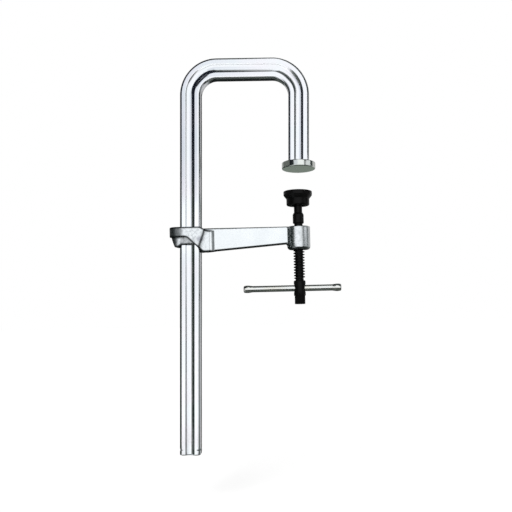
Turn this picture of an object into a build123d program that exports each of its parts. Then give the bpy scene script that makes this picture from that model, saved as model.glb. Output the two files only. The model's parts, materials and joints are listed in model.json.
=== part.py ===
"""A step-over welding clamp: a U-bent double-T rail, a sliding arm and a screw spindle.

Lengths are in millimetres. Z points up and is the screw's axis, and X runs from the rail
towards the spindle. The origin lies on the screw's axis, in the fixed anvil's working face.
The arm hangs askew on the rail by its play, so the rail leans a little from the Z axis.
"""

import os
from math import cos, radians, sin, sqrt, tan

from build123d import *

os.makedirs("parts", exist_ok=True)

# Clearances and fits
slide_clearance = 0.4  # each side of the rail's thickness in the arm's window
cant_clearance = 0.1  # left at the window's corners when the arm hangs askew
thread_clearance = 0.05  # spindle in the boss, on the radius
bar_clearance = 0.1  # tommy bar in its cross hole, on the radius
ball_clearance = 0.2  # thrust bush in the pad's socket, on the radius
journal_clearance = 0.05  # thrust bush on the spindle's journal, on the radius
seat_clearance = 0.05  # pressed and seated pieces of one body
end_play = 0.15  # between stacked pieces that turn against each other

# Rail, a drawn double-T bar
rail_width = 30.0
rail_thickness = 15.0
rail_corner_radius = 4.5
hollow_width = 13.0  # of the round hollow along each wide face
hollow_depth = 2.0
hollow_lip_radius = 0.6
throat_depth = 140.0  # from the rail's inner edge to the short leg's middle
bridge_rise = 158.4  # top of the U, at its middle, above the anvil's working face
bridge_slope = 0.9  # degrees, the bridge rises towards the short leg
bend_radius = 38.0  # on the bar's centreline
foot_drop = 410.0  # foot of the rail below the anvil's working face
arm_cant = 1.3  # degrees between the rail and the screw's axis
foot_chamfer = 1.2
stake_height = 8.0  # chisel marks above the foot
stake_size = 5.0
stake_depth = 1.4

# Fixed anvil, a round plate welded under the short leg
anvil_diameter = 48.0
anvil_thickness = 9.0
anvil_edge_radius = 1.2
leg_socket_depth = 2.0

# Pressure pad and its ball joint
jaw_opening = 32.2  # between anvil and pad in the photographed position
pad_diameter = 41.0
pad_rim_height = 5.2
pad_cone_height = 5.6
pad_height = 20.3
pad_body_diameter = 33.0
pad_edge_radius = 0.8
pad_skirt_radius = 2.0
ball_radius = 8.5
ball_depth = 12.8  # from the pad's face to the ball's centre
bush_top = 5.0  # flat above the ball's centre
bush_bottom = 4.5  # flat below the ball's centre
ring_inner_radius = 7.6
ring_thickness = 1.0
ring_wall = 2.2
ring_groove_play = 0.2
ring_gap_angle = 24.0
journal_radius = 4.0
clip_thickness = 0.8
clip_radius = 5.5
clip_groove_depth = 0.5
clip_gap_angle = 70.0
tip_length = 0.9  # journal beyond the clip

# Spindle
neck_radius = 5.9
neck_length = 10.3  # visible between pad and sleeve
sleeve_radius = 7.9
sleeve_length = 15.6
sleeve_flare = 2.7
sleeve_chamfer = 1.0
relief_radius = 6.3
relief_length = 4.2  # visible between sleeve and boss
thread_radius = 8.0
thread_chamfer = 1.5
thread_start = 3.4  # first turn below the boss's upper face
thread_below = 42.0  # below the boss
run_out_length = 2.0
head_radius = 8.5
head_length = 22.0
head_chamfer = 1.2
bar_hole_drop = 11.2  # head's upper end to the tommy bar's axis
bar_hole_flare = 1.6
hex_across_flats = 15.0
hex_length = 12.0
hex_chamfer = 1.0

# Tommy bar
bar_radius = 4.5
bar_length = 140.0
bar_end_radius = 5.4
bar_end_length = 14.0  # from the tip to the plain rod
bar_end_crown = 5.5  # from the tip to the widest place
bar_tip_radius = 4.1
bar_shift = 10.5  # the bar hangs out towards the rail

# Sliding arm, a drop forging
boss_radius = 16.6
boss_height = 33.4
boss_top_radius = 1.6
boss_bottom_radius = 4.5
boss_mouth = 1.2
web_thickness = 14.0
web_edge_radius = 2.6
web_end_height = 24.9  # at the boss
web_root_height = 32.9  # at the cheeks
cheek_thickness = 28.0
cheek_rise = 2.0  # above the arm's top face
cheek_upper_height = 14.3  # of the band round the rail's back
cheek_edge_radius = 1.4
cheek_curve_radius = 8.0
cheek_curve_setback = 3.2  # the S-curve's foot in front of the window
ramp_length = 7.0
ramp_run = 12.8  # from the window to the foot of the ramp
ledge_drop = 3.6  # cheek's ramp below the arm's top face
round_end_setback = 1.2  # the round end's centre behind the rail's back edge
guide_wall = 3.2
guide_height = 11.2  # below the band
guide_edge_radius = 0.9
heel_drop = 2.8  # below the guide
heel_length = 6.0  # from the band's back to the heel
window_corner_radius = 2.8
blend_radius = 3.2

# Heights along the screw's axis that follow from the sizes above
pad_face_z = -jaw_opening
pad_bottom_z = pad_face_z - pad_height
ball_z = pad_face_z - ball_depth
socket_radius = ball_radius + ball_clearance
bush_seat_z = ball_z - bush_bottom
sleeve_top_z = pad_bottom_z - neck_length
sleeve_bottom_z = sleeve_top_z - sleeve_length
boss_top_z = sleeve_bottom_z - relief_length
boss_bottom_z = boss_top_z - boss_height
thread_top_z = boss_top_z - thread_start
thread_bottom_z = boss_bottom_z - thread_below
head_top_z = thread_bottom_z - run_out_length
head_bottom_z = head_top_z - head_length
hex_bottom_z = head_bottom_z - hex_length
bar_z = head_top_z - bar_hole_drop
cheek_top_z = boss_top_z + cheek_rise
band_bottom_z = cheek_top_z - cheek_upper_height
guide_bottom_z = band_bottom_z - guide_height
heel_bottom_z = guide_bottom_z - heel_drop

# The arm's window stands upright, and the rail leans through the middle of it
rail_x = -throat_depth - rail_width / 2
rail_back_x = rail_x - rail_width / 2
window_middle_z = (cheek_top_z + heel_bottom_z) / 2
window_play = (cheek_top_z - window_middle_z) * tan(radians(arm_cant)) + cant_clearance
window_back_x = rail_back_x - window_play
window_front_x = -throat_depth + window_play

# The rail's own planes, with heights along the rail from the middle of the window
rail_origin = (rail_x, 0, window_middle_z)
rail_across = Vector(cos(radians(arm_cant)), 0, -sin(radians(arm_cant)))
rail_up = Vector(sin(radians(arm_cant)), 0, cos(radians(arm_cant)))
front_plane = Plane(rail_origin, x_dir=rail_across, z_dir=(0, -1, 0))
side_plane = Plane(rail_origin, x_dir=(0, 1, 0), z_dir=rail_across)
level_plane = Plane(rail_origin, x_dir=rail_across, z_dir=rail_up)
leg_span = throat_depth + rail_width / 2
anvil_height = (leg_span * sin(radians(arm_cant)) - window_middle_z) / cos(radians(arm_cant))
anvil_x = front_plane.from_local_coords((leg_span, anvil_height)).X
leg_end_height = anvil_height + anvil_thickness - leg_socket_depth
foot_height = anvil_height - foot_drop
bridge_height = anvil_height + bridge_rise - rail_width / 2
bridge_lift = leg_span / 2 * tan(radians(bridge_slope))


def rail_section(height, middle_x, gap=0.0):
    """The double-T section, square across the rail at a height, larger by the gap all round."""
    hollow_half = hollow_width / 2 - gap
    with BuildSketch(level_plane.offset(height)) as section:
        with Locations((middle_x, 0)):
            RectangleRounded(
                rail_width + 2 * gap, rail_thickness + 2 * gap, rail_corner_radius + gap
            )
        for side in (-1, 1):
            mouth_y = side * (rail_thickness / 2 + gap)
            with BuildLine():
                ThreePointArc(
                    (middle_x - hollow_half, mouth_y),
                    (middle_x, mouth_y - side * hollow_depth),
                    (middle_x + hollow_half, mouth_y),
                )
                Polyline(
                    (middle_x + hollow_half, mouth_y),
                    (middle_x, mouth_y + side * hollow_half),
                    (middle_x - hollow_half, mouth_y),
                )
            make_face(mode=Mode.SUBTRACT)
        lip_reach = hollow_half + hollow_lip_radius / 2
        lips = section.vertices().filter_by(lambda corner: abs(corner.X - middle_x) < lip_reach)
        fillet(lips, hollow_lip_radius)
    return section.sketch


# The rail is one bar, swept up the long leg, over the bridge and down the short leg
with BuildPart() as rail:
    with BuildLine(front_plane) as rail_path:
        FilletPolyline(
            (0, foot_height),
            (0, bridge_height - bridge_lift),
            (leg_span, bridge_height + bridge_lift),
            (leg_span, leg_end_height),
            radius=bend_radius,
        )
    sweep(rail_section(foot_height, 0), path=rail_path.line)
    # the sawn foot is bevelled on its two narrow ends and its two wide faces
    for foot_plane, foot_half in (
        (front_plane, rail_width / 2),
        (side_plane, rail_thickness / 2),
    ):
        with BuildSketch(foot_plane):
            for side in (-1, 1):
                edge = side * foot_half
                with BuildLine():
                    Polyline(
                        (edge, foot_height),
                        (edge, foot_height + foot_chamfer),
                        (edge - side * foot_chamfer, foot_height),
                        close=True,
                    )
                make_face()
        extrude(amount=rail_width, both=True, mode=Mode.SUBTRACT)
    # chisel marks on the four corners keep the arm from sliding off the foot
    corner_inset = rail_corner_radius * (sqrt(2) - 1)
    for side_x in (-1, 1):
        for side_y in (-1, 1):
            corner = level_plane.from_local_coords(
                (
                    side_x * rail_width / 2,
                    side_y * rail_thickness / 2,
                    foot_height + stake_height,
                )
            )
            outward = rail_across * side_x + Vector(0, side_y, 0)
            along_mark = rail_across * side_y - Vector(0, side_x, 0)
            with BuildSketch(Plane(corner, x_dir=outward, z_dir=along_mark)):
                with BuildLine():
                    Polyline(
                        (-corner_inset - stake_depth, 0),
                        (0, stake_size / 2),
                        (0, -stake_size / 2),
                        close=True,
                    )
                make_face()
            extrude(amount=rail_thickness / 4, both=True, mode=Mode.SUBTRACT)
rail.part.label = "rail"
export_step(rail.part, "parts/rail.step")


# The fixed anvil takes the end of the short leg in a shallow socket
with BuildPart() as anvil_disc:
    with BuildSketch():
        with Locations((anvil_x, 0)):
            Circle(anvil_diameter / 2)
    extrude(amount=anvil_thickness)
    rim_edges = anvil_disc.edges().filter_by(GeomType.CIRCLE)
    fillet(rim_edges, anvil_edge_radius)
    socket = rail_section(leg_end_height, leg_span, seat_clearance)
    extrude(socket, amount=anvil_thickness, mode=Mode.SUBTRACT)
anvil_disc.part.label = "anvil_disc"
export_step(anvil_disc.part, "parts/anvil_disc.step")


# The ball joint's retaining ring rests against the ball's underside
contact_height = sqrt(socket_radius**2 - ring_inner_radius**2)
ring_top_z = ball_z - contact_height
ring_bottom_z = ring_top_z - ring_thickness
ring_outer_radius = ring_inner_radius + ring_wall

# The pressure pad is a turned bell with a spherical socket for the thrust bush
with BuildPart() as pressure_pad:
    pad_radius = pad_diameter / 2
    pad_body_radius = pad_body_diameter / 2
    rim_bottom_z = pad_face_z - pad_rim_height
    body_top_z = rim_bottom_z - pad_cone_height
    with BuildSketch(Plane.XZ):
        with BuildLine():
            Polyline(
                (0, ball_z + socket_radius),
                (0, pad_face_z),
                (pad_radius, pad_face_z),
                (pad_radius, rim_bottom_z),
                (pad_body_radius, body_top_z),
                (pad_body_radius, pad_bottom_z),
                (socket_radius, pad_bottom_z),
                (socket_radius, ball_z),
            )
            CenterArc((0, ball_z), socket_radius, 0, 90)
        make_face()
    revolve(axis=Axis.Z)
    outer_rims = pressure_pad.edges().filter_by(
        lambda edge: edge.geom_type == GeomType.CIRCLE and edge.radius >= pad_body_radius
    ).sort_by(Axis.Z)
    fillet(outer_rims[0], pad_skirt_radius)
    fillet(outer_rims[1:], pad_edge_radius)
    with BuildSketch(Plane.XY.offset(ring_bottom_z - ring_groove_play / 2)):
        Circle(ring_outer_radius + ring_groove_play)
        Circle(socket_radius / 2, mode=Mode.SUBTRACT)
    extrude(amount=ring_thickness + ring_groove_play, mode=Mode.SUBTRACT)
pressure_pad.part.label = "pressure_pad"
export_step(pressure_pad.part, "parts/pressure_pad.step")


def split_ring(height, inner_radius, outer_radius, gap_angle):
    """A flat ring at a height, open over the gap angle on the rail's side."""
    gap_half = outer_radius * tan(radians(gap_angle / 2))
    with BuildSketch(Plane.XY.offset(height)) as ring:
        Circle(outer_radius)
        Circle(inner_radius, mode=Mode.SUBTRACT)
        with BuildLine():
            Polyline((0, 0), (-outer_radius, gap_half), (-outer_radius, -gap_half), close=True)
        make_face(mode=Mode.SUBTRACT)
    return ring.sketch


# A snap ring in the pad's skirt keeps the pad on the ball
with BuildPart() as pad_snap_ring:
    ring_shape = split_ring(
        ring_bottom_z, ring_inner_radius, ring_outer_radius, ring_gap_angle
    )
    extrude(ring_shape, amount=ring_thickness)
pad_snap_ring.part.label = "pad_snap_ring"
export_step(pad_snap_ring.part, "parts/pad_snap_ring.step")


# The spherical thrust bush turns on the spindle's journal and swivels in the pad
with BuildPart() as thrust_bush:
    bush_bore = journal_radius + journal_clearance
    bush_top_radius = sqrt(ball_radius**2 - bush_top**2)
    bush_bottom_radius = sqrt(ball_radius**2 - bush_bottom**2)
    with BuildSketch(Plane.XZ):
        with BuildLine():
            Polyline(
                (bush_top_radius, ball_z + bush_top),
                (bush_bore, ball_z + bush_top),
                (bush_bore, ball_z - bush_bottom),
                (bush_bottom_radius, ball_z - bush_bottom),
            )
            ThreePointArc(
                (bush_bottom_radius, ball_z - bush_bottom),
                (ball_radius, ball_z),
                (bush_top_radius, ball_z + bush_top),
            )
        make_face()
    revolve(axis=Axis.Z)
thrust_bush.part.label = "thrust_bush"
export_step(thrust_bush.part, "parts/thrust_bush.step")


# Heights of the journal's retaining clip, above the thrust bush
clip_bottom_z = ball_z + bush_top + end_play
clip_top_z = clip_bottom_z + clip_thickness
tip_z = clip_top_z + tip_length
clip_groove_radius = journal_radius - clip_groove_depth

# The spindle is one turned bar: journal, neck, threaded length, cross-drilled head and hexagon
with BuildPart() as spindle:
    shoulder_z = bush_seat_z - end_play
    with BuildSketch(Plane.XZ):
        with BuildLine():
            Polyline(
                (0, tip_z),
                (clip_groove_radius, tip_z),
                (journal_radius, tip_z - clip_groove_depth),
                (journal_radius, clip_top_z),
                (clip_groove_radius, clip_top_z),
                (clip_groove_radius, clip_bottom_z),
                (journal_radius, clip_bottom_z),
                (journal_radius, shoulder_z),
                (neck_radius, shoulder_z),
                (neck_radius, sleeve_bottom_z),
                (relief_radius, sleeve_bottom_z),
                (relief_radius, thread_top_z),
                (thread_radius - thread_chamfer, thread_top_z),
                (thread_radius, thread_top_z - thread_chamfer),
                (thread_radius, thread_bottom_z + thread_chamfer),
                (thread_radius - thread_chamfer, thread_bottom_z),
                (relief_radius, thread_bottom_z),
                (relief_radius, head_top_z),
                (head_radius - head_chamfer, head_top_z),
                (head_radius, head_top_z - head_chamfer),
                (head_radius, head_bottom_z),
                (0, head_bottom_z),
                close=True,
            )
        make_face()
    revolve(axis=Axis.Z)
    with BuildSketch(Plane.XY.offset(hex_bottom_z)):
        RegularPolygon(hex_across_flats / 2, 6, major_radius=False, rotation=30)
    extrude(amount=hex_length)
    hex_end = spindle.faces().sort_by(Axis.Z)[0].edges()
    chamfer(hex_end, hex_chamfer)
    # the cross hole for the tommy bar, with flared mouths
    bar_axis = Axis((0, 0, bar_z), (1, 0, 0))
    bar_hole_radius = bar_radius + bar_clearance
    with BuildSketch(Plane.YZ):
        with Locations((0, bar_z)):
            Circle(bar_hole_radius)
    extrude(amount=head_radius, both=True, mode=Mode.SUBTRACT)
    with BuildSketch(Plane.XZ):
        for side in (-1, 1):
            with BuildLine():
                Polyline(
                    (side * (head_radius - bar_hole_flare), bar_z),
                    (side * (head_radius - bar_hole_flare), bar_z + bar_hole_radius),
                    (side * head_radius, bar_z + bar_hole_radius + bar_hole_flare),
                    (side * head_radius, bar_z),
                    close=True,
                )
            make_face()
    revolve(axis=bar_axis, mode=Mode.SUBTRACT)
spindle.part.label = "spindle"
export_step(spindle.part, "parts/spindle.step")


# A clip in the journal's groove keeps the thrust bush on the spindle
with BuildPart() as journal_clip:
    clip_bore = clip_groove_radius + seat_clearance
    clip_shape = split_ring(clip_bottom_z, clip_bore, clip_radius, clip_gap_angle)
    extrude(clip_shape, amount=clip_thickness)
journal_clip.part.label = "journal_clip"
export_step(journal_clip.part, "parts/journal_clip.step")


# The stop sleeve is pressed on the neck and ends the spindle's backward travel at the boss
with BuildPart() as stop_sleeve:
    sleeve_bore = neck_radius + seat_clearance
    with BuildSketch(Plane.XZ):
        with BuildLine():
            Polyline(
                (sleeve_bore, sleeve_top_z),
                (sleeve_bore, sleeve_bottom_z),
                (sleeve_radius - sleeve_chamfer, sleeve_bottom_z),
                (sleeve_radius, sleeve_bottom_z + sleeve_chamfer),
                (sleeve_radius, sleeve_top_z - sleeve_flare),
                (neck_radius + sleeve_chamfer / 2, sleeve_top_z),
                close=True,
            )
        make_face()
    revolve(axis=Axis.Z)
stop_sleeve.part.label = "stop_sleeve"
export_step(stop_sleeve.part, "parts/stop_sleeve.step")


# The tommy bar slides in the spindle's head between its two upset ends
with BuildPart() as tommy_bar:
    half_length = bar_length / 2
    with BuildSketch(Plane.XZ):
        with BuildLine():
            Polyline(
                (-bar_shift - half_length, bar_z + bar_tip_radius),
                (-bar_shift - half_length, bar_z),
                (-bar_shift + half_length, bar_z),
                (-bar_shift + half_length, bar_z + bar_tip_radius),
            )
            Line(
                (-bar_shift - half_length + bar_end_length, bar_z + bar_radius),
                (-bar_shift + half_length - bar_end_length, bar_z + bar_radius),
            )
            for side in (-1, 1):
                tip_x = -bar_shift + side * half_length
                Spline(
                    (tip_x, bar_z + bar_tip_radius),
                    (tip_x - side * bar_end_crown, bar_z + bar_end_radius),
                    (tip_x - side * bar_end_length, bar_z + bar_radius),
                    tangents=((-side, 1), (-side, 0)),
                )
        make_face()
    revolve(axis=bar_axis)
tommy_bar.part.label = "tommy_bar"
export_step(tommy_bar.part, "parts/tommy_bar.step")


# The sliding arm's lengths
ramp_foot_x = window_front_x + ramp_run + ramp_length
ramp_head_x = window_front_x + ramp_run
web_slope = (web_root_height - web_end_height) / (-boss_radius - ramp_foot_x)
round_end_x = rail_back_x - round_end_setback


def web_bottom_z(x):
    """Height of the web's lower edge, which rises from the cheeks towards the boss."""
    return boss_top_z - web_end_height + web_slope * (x + boss_radius)


def collar_plan(height, half_width, front_x):
    """A collar with a round back end, flat at a height."""
    with BuildSketch(Plane.XY.offset(height)) as plan:
        with BuildLine():
            Polyline(
                (round_end_x, half_width),
                (front_x, half_width),
                (front_x, -half_width),
                (round_end_x, -half_width),
            )
            ThreePointArc(
                (round_end_x, -half_width),
                (round_end_x - half_width, 0),
                (round_end_x, half_width),
            )
        make_face()
    return plan.sketch


# The cheeks hug the rail: a band behind it, swept down to the web's full depth in front
with BuildPart() as arm_cheeks:
    cheek_half = cheek_thickness / 2
    cheek_bottom_z = web_bottom_z(window_front_x)
    with BuildSketch(Plane.XY.offset(cheek_top_z)):
        add(collar_plan(0, cheek_half, ramp_head_x))
        with BuildLine():
            Polyline(
                (ramp_head_x, cheek_half),
                (ramp_foot_x, web_thickness / 2),
                (ramp_foot_x, -web_thickness / 2),
                (ramp_head_x, -cheek_half),
                close=True,
            )
        make_face()
    extrude(amount=cheek_bottom_z - cheek_top_z - cheek_rise)
    with BuildSketch(Plane.XZ):
        # below the S-shaped lower edge
        curve_run = band_bottom_z - cheek_bottom_z
        curve_foot_x = window_front_x + cheek_curve_setback
        with BuildLine():
            FilletPolyline(
                (round_end_x - 2 * cheek_half, band_bottom_z),
                (curve_foot_x - curve_run, band_bottom_z),
                (curve_foot_x, web_bottom_z(curve_foot_x)),
                (ramp_foot_x + ramp_length, web_bottom_z(ramp_foot_x + ramp_length)),
                radius=cheek_curve_radius,
            )
            Polyline(
                (ramp_foot_x + ramp_length, web_bottom_z(ramp_foot_x + ramp_length)),
                (ramp_foot_x + ramp_length, cheek_bottom_z - cheek_thickness),
                (round_end_x - 2 * cheek_half, cheek_bottom_z - cheek_thickness),
                (round_end_x - 2 * cheek_half, band_bottom_z),
            )
        make_face()
        # above the ledge on the ramp
        with BuildLine():
            Polyline(
                (window_front_x, cheek_top_z),
                (ramp_head_x - ledge_drop, boss_top_z - ledge_drop),
                (ramp_foot_x + ramp_length, boss_top_z - ledge_drop),
                (ramp_foot_x + ramp_length, cheek_top_z),
                close=True,
            )
        make_face()
    extrude(amount=cheek_thickness, both=True, mode=Mode.SUBTRACT)
    fillet(arm_cheeks.edges(), cheek_edge_radius)


# The guide is a thinner ring under the band, with a heel on the rail's back edge
with BuildPart() as arm_guide:
    guide_half = rail_thickness / 2 + slide_clearance + guide_wall
    guide_front_x = window_front_x + guide_wall
    guide_top_z = band_bottom_z + 2 * cheek_edge_radius
    guide_plan = collar_plan(heel_bottom_z, guide_half, guide_front_x)
    extrude(guide_plan, amount=guide_top_z - heel_bottom_z)
    guide_back_x = round_end_x - guide_half
    with BuildSketch(Plane.XZ):
        with BuildLine():
            Polyline(
                (guide_back_x, guide_top_z),
                (guide_front_x, guide_top_z),
                (guide_front_x, guide_bottom_z),
                (window_back_x + heel_drop, guide_bottom_z),
                (window_back_x, heel_bottom_z),
                (guide_back_x + heel_length, heel_bottom_z),
                (guide_back_x, band_bottom_z),
                close=True,
            )
        make_face()
    extrude(amount=guide_half, both=True, mode=Mode.INTERSECT)
    fillet(arm_guide.edges(), guide_edge_radius)


# The web tapers from the cheeks to the boss
with BuildPart() as arm_web:
    with BuildSketch(Plane.XZ):
        with BuildLine():
            Polyline(
                (window_front_x, boss_top_z),
                (0, boss_top_z),
                (0, web_bottom_z(0)),
                (window_front_x, web_bottom_z(window_front_x)),
                close=True,
            )
        make_face()
    extrude(amount=web_thickness / 2, both=True)
    long_edges = arm_web.edges().filter_by(lambda edge: edge.length > throat_depth / 2)
    fillet(long_edges, web_edge_radius)


# The boss at the arm's end carries the nut thread
with BuildPart() as arm_boss:
    with BuildSketch(Plane.XY.offset(boss_bottom_z)):
        Circle(boss_radius)
    extrude(amount=boss_height)
    boss_rims = arm_boss.edges().filter_by(GeomType.CIRCLE).sort_by(Axis.Z)
    fillet(boss_rims[0], boss_bottom_radius)
    fillet(boss_rims[-1], boss_top_radius)


# The sliding arm is one forging, with the rail's window and the screw's bore cut through it
with BuildPart() as sliding_arm:
    add(arm_web.part)
    add(arm_boss.part)
    corner_x = -sqrt(boss_radius**2 - (web_thickness / 2) ** 2)
    web_corners = sliding_arm.edges().filter_by(
        lambda edge: abs(edge.center().X - corner_x) < seat_clearance
        and abs(abs(edge.center().Y) - web_thickness / 2) < seat_clearance
    )
    fillet(web_corners, blend_radius)
    add(arm_cheeks.part)
    add(arm_guide.part)
    with BuildSketch(Plane.XY.offset(cheek_top_z)):
        with Locations((rail_x, 0)):
            RectangleRounded(
                window_front_x - window_back_x,
                rail_thickness + 2 * slide_clearance,
                window_corner_radius,
            )
    extrude(amount=2 * (boss_bottom_z - cheek_top_z), mode=Mode.SUBTRACT)
    bore_radius = thread_radius + thread_clearance
    with BuildSketch(Plane.XZ):
        with BuildLine():
            Polyline(
                (0, boss_top_z),
                (bore_radius + boss_mouth, boss_top_z),
                (bore_radius, boss_top_z - boss_mouth),
                (bore_radius, boss_bottom_z + boss_mouth),
                (bore_radius + boss_mouth, boss_bottom_z),
                (0, boss_bottom_z),
                close=True,
            )
        make_face()
    revolve(axis=Axis.Z, mode=Mode.SUBTRACT)
sliding_arm.part.label = "sliding_arm"
export_step(sliding_arm.part, "parts/sliding_arm.step")
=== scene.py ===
import json
from math import asin, atan2, cos, hypot, pi, radians, sin, sqrt, tan

import bmesh
import bpy
from mathutils import Matrix, Vector


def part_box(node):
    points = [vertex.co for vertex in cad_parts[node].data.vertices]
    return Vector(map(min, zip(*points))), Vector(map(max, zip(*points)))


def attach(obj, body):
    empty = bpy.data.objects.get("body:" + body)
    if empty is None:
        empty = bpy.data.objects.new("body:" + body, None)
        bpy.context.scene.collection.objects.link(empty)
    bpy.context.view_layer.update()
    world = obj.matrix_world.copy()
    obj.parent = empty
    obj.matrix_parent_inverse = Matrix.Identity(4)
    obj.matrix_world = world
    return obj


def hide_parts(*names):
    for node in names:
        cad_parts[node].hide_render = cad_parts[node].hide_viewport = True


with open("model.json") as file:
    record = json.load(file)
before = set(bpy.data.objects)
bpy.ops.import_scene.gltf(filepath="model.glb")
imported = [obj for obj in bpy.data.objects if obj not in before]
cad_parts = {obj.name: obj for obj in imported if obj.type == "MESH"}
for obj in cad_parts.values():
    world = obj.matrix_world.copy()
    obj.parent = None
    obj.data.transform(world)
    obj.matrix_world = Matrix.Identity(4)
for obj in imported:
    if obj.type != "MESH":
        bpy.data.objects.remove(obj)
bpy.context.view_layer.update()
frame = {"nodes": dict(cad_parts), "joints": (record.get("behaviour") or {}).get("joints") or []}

MM = 0.001
NEAR = 0.01 * MM
TOUCHING = 0.001 * MM

# Where the pieces are, from the frame
arm_slide = next(joint for joint in frame["joints"] if joint["name"] == "arm_slide")
rail_lean = atan2(arm_slide["axis"][0], arm_slide["axis"][2])
anvil_low, anvil_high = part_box("anvil_disc")
pad_low, pad_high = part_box("pressure_pad")
sleeve_low, sleeve_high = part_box("stop_sleeve")
spindle_low, spindle_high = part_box("spindle")
bar_low, bar_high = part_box("tommy_bar")
clip_low, clip_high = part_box("journal_clip")
ring_low, ring_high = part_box("pad_snap_ring")
bush_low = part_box("thrust_bush")[0]
anvil_x = (anvil_low.x + anvil_high.x) / 2
bar_middle = (bar_low + bar_high) / 2

# The drawn rail
RAIL_WIDTH = 30 * MM
RAIL_THICKNESS = 15 * MM
RAIL_CORNER = 4.2 * MM
HOLLOW_WIDTH = 13 * MM
HOLLOW_DEPTH = 2.0 * MM
HOLLOW_LIP = 0.6 * MM
HOLLOW_FACETS = 14
LEG_SPAN = 155 * MM
FOOT = -410 * MM
LEG_END = 7 * MM
STAKE_RISE = 8 * MM
STAKE_SIZE = 5 * MM
STAKE_DEPTH = 2.2 * MM

# The rail's bridge, and the two bends that lead to it and away from it
BRIDGE_MIDDLE = 143.4 * MM
BRIDGE_SLOPE = radians(0.9)
BEND_RADIUS = 38 * MM
BEND_STEPS = 40
LEFT_TURN = pi / 2 - BRIDGE_SLOPE
RIGHT_TURN = pi / 2 + BRIDGE_SLOPE
bridge_rise = LEG_SPAN / 2 * tan(BRIDGE_SLOPE)
left_tangent = BEND_RADIUS * tan(LEFT_TURN / 2)
right_tangent = BEND_RADIUS * tan(RIGHT_TURN / 2)
left_bend_z = BRIDGE_MIDDLE - bridge_rise - left_tangent
right_bend_z = BRIDGE_MIDDLE + bridge_rise - right_tangent
left_centre = Vector((-LEG_SPAN + BEND_RADIUS, 0, left_bend_z))
right_centre = Vector((-BEND_RADIUS, 0, right_bend_z))

# The foot's rounded end: how far it is drawn in, by heights above the foot, in mm
FOOT_ROUNDING = ((0.0, 1.0), (0.35, 0.45), (0.9, 0.12), (1.6, 0.0))

# How far each face sinks in the middle of a bend, by places across the bar, in mm
PINCH = (
    (-6.2, 0.0),
    (-4.0, 0.3),
    (-1.0, 0.75),
    (0.5, 0.8),
    (5.5, 0.8),
    (6.6, 0.7),
    (9.0, 0.0),
)
PINCH_LEVELS = 12
PINCH_REACH = 0.02

# How the arm's cheeks blend into its web: shares of the thickness, by places in mm.
# The fold slants round its middle height. The small step where the web begins is upright.
FOLD_SLANT = 0.35
FOLD_MIDDLE = -100.0
FOLD = (
    (-143.0, 1.0),
    (-141.5, 0.985),
    (-140.0, 0.952),
    (-138.5, 0.903),
    (-137.0, 0.850),
    (-135.5, 0.800),
    (-134.0, 0.765),
    (-132.5, 0.742),
    (-131.0, 0.735),
)
STEP = (
    (-126.3, 0.730),
    (-125.0, 0.787),
    (-123.9, 0.853),
    (-123.2, 0.862),
    (-122.4, 0.851),
    (-121.2, 0.888),
    (-119.4, 1.0),
)
BAND = 0.4

# Only what stands further out than this is squeezed in the fold and in the step, in mm
CHEEK_HALF = 11.3
WEB_HALF = 7.05

# The fold's rear side, and where its slanting bands have all passed the step, in mm
BEHIND_FOLD = -150.0
PAST_SLANT = -115.0

# The spindle
THREAD_PITCH = 4 * MM
THREAD_CREST = 8 * MM
THREAD_ROOT = 5.8 * MM
THREAD_LENGTH = 72 * MM
THREAD_CHAMFER = 1.8 * MM
ROOT_FLAT = 1.5 * MM
FLANK_ANGLE = radians(15)
RELIEF_RADIUS = 6.0 * MM
RELIEF_LENGTH = 7.6 * MM
UNDERCUT = 2 * MM
NECK = 5.9 * MM
JOURNAL = 4 * MM
CLIP_GROOVE = 3.5 * MM
BUSH_PLAY = 0.15 * MM
BAR_HOLE = 4.6 * MM
HEAD_RADIUS = 8.5 * MM
HEAD_LENGTH = 22 * MM
HEX_FLATS = 15 * MM
HEX_CORNER = 8.6 * MM
HEX_FACING = 7.2 * MM
HEX_CHAMFER = 1.1 * MM

# The pressure pad, with heights taken down from its face
PAD_BODY = 16.5 * MM
PAD_SOCKET = 8.7 * MM
PAD_RING_GROOVE = 10 * MM
BALL_DROP = 12.8 * MM
RIM_HEIGHT = 6.0 * MM
FLARE_HEIGHT = 4.8 * MM
RING_PLAY = 0.1 * MM

# The tommy bar
ROD = 4.5 * MM
UPSET = 5.4 * MM
UPSET_TIP = 4.2 * MM
UPSET_CROWN = 5.5 * MM
UPSET_TAPER = 14 * MM


# Modelling steps

def begin(add_primitive, name, **sizes):
    """Adds a primitive with nothing else selected and opens it for editing."""
    bpy.ops.object.select_all(action="DESELECT")
    add_primitive(**sizes)
    piece = bpy.context.object
    piece.name = piece.data.name = name
    bpy.ops.object.mode_set(mode="EDIT")
    return piece


def choose(piece):
    """Makes a piece the only selected one."""
    bpy.ops.object.select_all(action="DESELECT")
    piece.select_set(True)
    bpy.context.view_layer.objects.active = piece


def finish_editing(piece):
    """Leaves edit mode with the piece's place in its mesh."""
    bpy.ops.object.mode_set(mode="OBJECT")
    choose(piece)
    bpy.ops.object.transform_apply(location=True, rotation=True, scale=True)
    return piece


def pick(piece, wanted):
    """Selects the corners for which wanted says yes, with the edges and faces between them."""
    mesh = bmesh.from_edit_mesh(piece.data)
    for parts in (mesh.verts, mesh.edges, mesh.faces):
        for part in parts:
            part.select = False
    for corner in mesh.verts:
        corner.select = bool(wanted(piece.matrix_world @ corner.co))
    mesh.select_flush(True)
    bmesh.update_edit_mesh(piece.data)


def push(step):
    """Extrudes what is selected by a step."""
    bpy.ops.mesh.extrude_region_move(TRANSFORM_OT_translate={"value": tuple(step)})


def resize(value, middle=(0, 0, 0)):
    """Scales what is selected round a middle."""
    bpy.ops.transform.resize(value=value, center_override=tuple(middle))


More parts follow.
